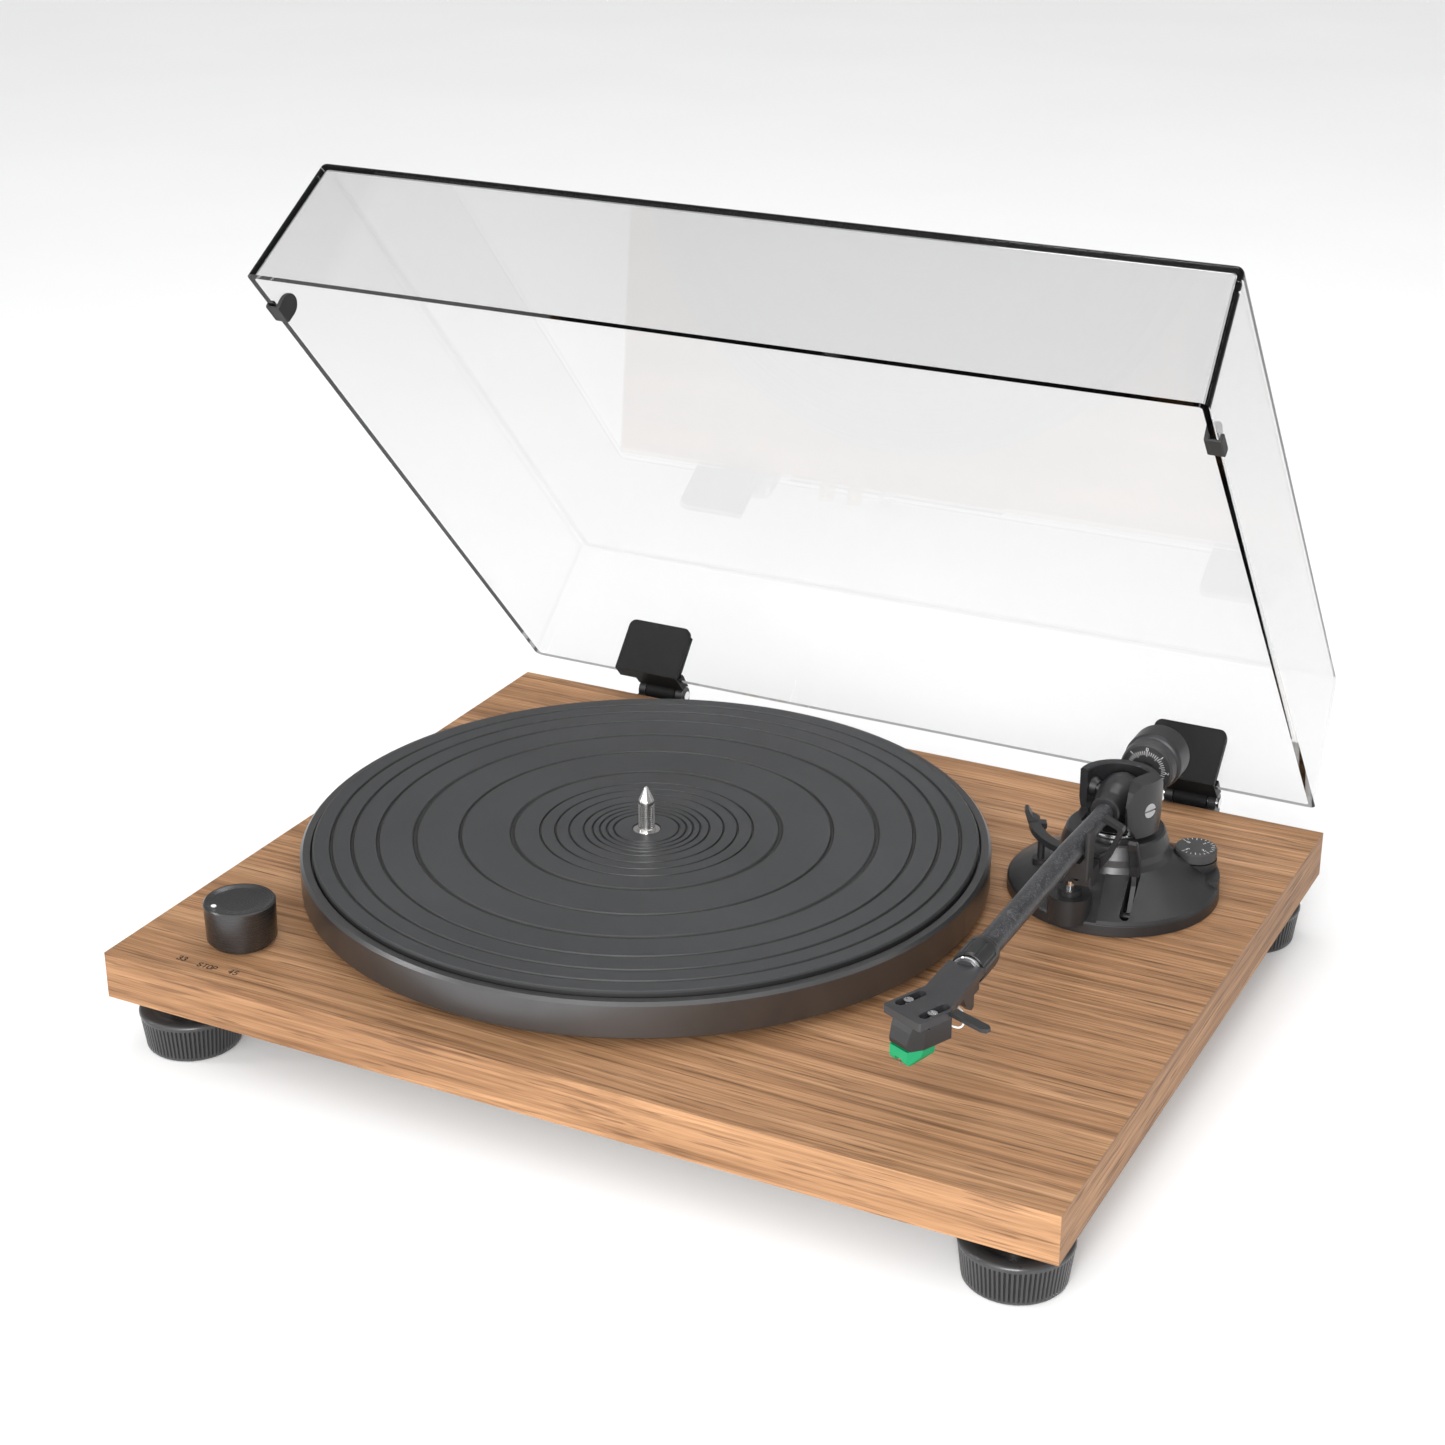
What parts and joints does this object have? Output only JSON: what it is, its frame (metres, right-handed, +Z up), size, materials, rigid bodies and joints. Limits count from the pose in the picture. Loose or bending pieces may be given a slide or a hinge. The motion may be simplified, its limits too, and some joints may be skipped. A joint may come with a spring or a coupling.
{
  "type": "record player",
  "caption": "Belt-drive record player: wooden plinth on feet, platter with ribbed rubber mat, straight tonearm on a round base, speed knob and hinged clear dust cover.",
  "frame": {"origin": "on the ground plane, under the middle of the outline box with the dust cover open", "axes": "+Z up, +X to the right seen from the front, front faces -Y"},
  "size_m": [0.42, 0.3832, 0.3429],
  "materials": {
    "walnut": "open-pored walnut veneer, satin lacquer",
    "board": "dark hardboard",
    "rubber": "matt moulded rubber",
    "platter_grey": "satin dark grey cast metal",
    "steel": "turned steel",
    "chrome": "bright plated",
    "brass": "plain",
    "black_metal": "satin black",
    "black_plastic": "fine satin",
    "carbon": "forged carbon fibre under satin lacquer",
    "motor_steel": "plated can",
    "circuit": "coated circuit board",
    "white_mark": "printed marks",
    "green": "moulded",
    "wire_white": "insulated lead",
    "clear": "polished clear acrylic"
  },
  "bodies": {
    "base": {"plinth": "walnut", "bottom_cover": "board", "plinth_screws": "steel", "bearing_housing": "steel", "motor": "motor_steel", "motor_bracket": "steel", "motor_screws": "steel", "drive_belt": "rubber", "speed_switch": "black_plastic", "control_board": "circuit", "rear_panel": "black_plastic", "audio_jacks": "brass", "ground_terminal": "steel", "dc_inlet": "black_plastic", "selector_switch": "black_plastic", "tonearm_base": "black_plastic", "pivot_pillar": "black_metal", "pillar_ring": "chrome", "rest_post": "chrome", "arm_rest": "black_plastic", "hinge_base_left": "black_metal", "hinge_base_right": "black_metal", "hinge_pins": "steel", "hinge_springs": "steel"},
    "foot_fl": {"foot_front_left": "rubber"},
    "foot_fr": {"foot_front_right": "rubber"},
    "foot_rl": {"foot_rear_left": "rubber"},
    "foot_rr": {"foot_rear_right": "rubber"},
    "platter_group": {"platter": "platter_grey", "platter_mat": "rubber", "spindle": "chrome"},
    "pulley": {"motor_pulley": "brass"},
    "knob": {"speed_knob": "black_plastic", "knob_dot": "white_mark"},
    "nut": {"ground_nut": "brass"},
    "slider": {"selector_slider": "black_plastic"},
    "yoke": {"arm_yoke": "black_metal", "pivot_screws": "chrome"},
    "arm": {"arm_housing": "black_metal", "arm_tube": "carbon", "rear_stub": "steel", "headshell_ring": "chrome", "headshell": "black_metal", "finger_lift": "black_metal", "headshell_screws": "steel", "cartridge_body": "black_plastic", "stylus_assembly": "green", "cantilever": "steel", "lead_wires": "wire_white"},
    "weight": {"counterweight": "black_metal"},
    "dial": {"force_dial": "black_plastic"},
    "collar": {"locking_collar": "black_metal"},
    "clip": {"rest_clip": "black_plastic"},
    "lift": {"lift_platform": "black_plastic"},
    "cue": {"cue_lever": "black_plastic"},
    "antiskate": {"antiskate_dial": "black_plastic"},
    "lid": {"dust_cover": "clear", "lid_bumpers": "rubber", "hinge_plate_left": "black_metal", "hinge_plate_right": "black_metal"}
  },
  "joints": [
    {"name": "lid_hinge", "type": "hinge", "parent": "base", "child": "lid", "pos_m": [0, 0.1566, 0.0467], "axis": [-1, 0, 0], "range_deg": [-48.4, 0]},
    {"name": "platter_spin", "type": "hinge", "parent": "base", "child": "platter_group", "pos_m": [-0.0441, -0.0274, 0.06], "axis": [0, 0, 1], "continuous": true},
    {"name": "pulley_spin", "type": "hinge", "parent": "base", "child": "pulley", "pos_m": [-0.104, 0.0326, 0.055], "axis": [0, 0, 1], "continuous": true},
    {"name": "arm_swing", "type": "hinge", "parent": "base", "child": "yoke", "pos_m": [0.1427, 0.052, 0.0907], "axis": [0, 0, -1], "range_deg": [0, 52]},
    {"name": "arm_tip", "type": "hinge", "parent": "yoke", "child": "arm", "pos_m": [0.1427, 0.052, 0.0907], "axis": [-0.9143, 0.4051, 0], "range_deg": [-0.7, 8]},
    {"name": "counterweight_turn", "type": "hinge", "parent": "arm", "child": "weight", "pos_m": [0.1427, 0.102, 0.0881], "axis": [0, 1, 0], "continuous": true},
    {"name": "force_dial_turn", "type": "hinge", "parent": "weight", "child": "dial", "pos_m": [0.1427, 0.092, 0.0881], "axis": [0, 1, 0], "continuous": true},
    {"name": "collar_turn", "type": "hinge", "parent": "arm", "child": "collar", "pos_m": [0.1427, -0.108, 0.0907], "axis": [0, 1, 0], "range_deg": [0, 35]},
    {"name": "clip_close", "type": "hinge", "parent": "base", "child": "clip", "pos_m": [0.1437, 0.0182, 0.0757], "axis": [0, -1, 0], "range_deg": [0, 22]},
    {"name": "cue_lever_turn", "type": "hinge", "parent": "base", "child": "cue", "pos_m": [0.1596, 0.0238, 0.0499], "axis": [0.9938, 0.1115, 0], "range_deg": [0, 50]},
    {"name": "lift_slide", "type": "slide", "parent": "base", "child": "lift", "axis": [0, 0, 1], "range_m": [0, 0.0056]},
    {"name": "antiskate_turn", "type": "hinge", "parent": "base", "child": "antiskate", "pos_m": [0.173, 0.0714, 0.0617], "axis": [0, 0, -1], "range_deg": [0, 270]},
    {"name": "speed_knob_turn", "type": "hinge", "parent": "base", "child": "knob", "pos_m": [-0.165, -0.1588, 0.055], "axis": [0, 0, 1], "range_deg": [0, 78]},
    {"name": "selector_slide", "type": "slide", "parent": "base", "child": "slider", "axis": [1, 0, 0], "range_m": [0, 0.0048]},
    {"name": "ground_nut_turn", "type": "hinge", "parent": "base", "child": "nut", "pos_m": [-0.058, 0.1526, 0.0355], "axis": [0, 1, 0], "continuous": true},
    {"name": "foot_fl_turn", "type": "hinge", "parent": "base", "child": "foot_fl", "pos_m": [-0.1858, -0.1701, 0.01], "axis": [0, 0, 1], "range_deg": [-180, 180]},
    {"name": "foot_fr_turn", "type": "hinge", "parent": "base", "child": "foot_fr", "pos_m": [0.1858, -0.1701, 0.01], "axis": [0, 0, 1], "range_deg": [-180, 180]},
    {"name": "foot_rl_turn", "type": "hinge", "parent": "base", "child": "foot_rl", "pos_m": [-0.1858, 0.1245, 0.01], "axis": [0, 0, 1], "range_deg": [-180, 180]},
    {"name": "foot_rr_turn", "type": "hinge", "parent": "base", "child": "foot_rr", "pos_m": [0.1858, 0.1245, 0.01], "axis": [0, 0, 1], "range_deg": [-180, 180]}
  ],
  "couplings": [
    {"joint": "pulley_spin", "follows": "platter_spin", "ratio": 10},
    {"joint": "lift_slide", "follows": "cue_lever_turn", "m_per_rad": 0.0063}
  ]
}
